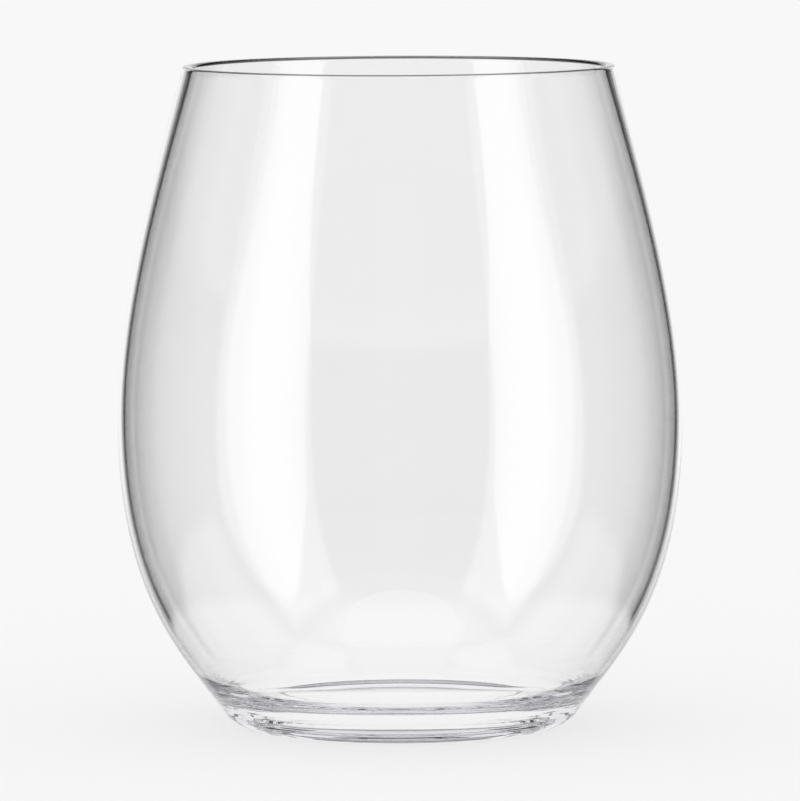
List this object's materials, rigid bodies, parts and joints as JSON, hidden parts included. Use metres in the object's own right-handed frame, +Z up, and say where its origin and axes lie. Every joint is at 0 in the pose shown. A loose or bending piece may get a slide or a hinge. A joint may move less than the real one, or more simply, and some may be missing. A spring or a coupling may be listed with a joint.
{
  "type": "stemless wine glass",
  "caption": "Clear stemless wine glass: an egg-shaped bowl with a thin wall, a level-cut rim narrower than its belly, and a flat base with a heavy rounded corner and a shallow hollow below.",
  "frame": {"origin": "centre of the ring that the glass stands on, at table level", "axes": "+Z up along the axis of the bowl; +X and +Y lie across it and are alike, because the glass is turned about Z"},
  "size_m": [0.0914, 0.0914, 0.1067],
  "materials": {
    "clear_copolyester": "gloss"
  },
  "bodies": {
    "root": {"glass": "clear_copolyester"}
  },
  "joints": []
}
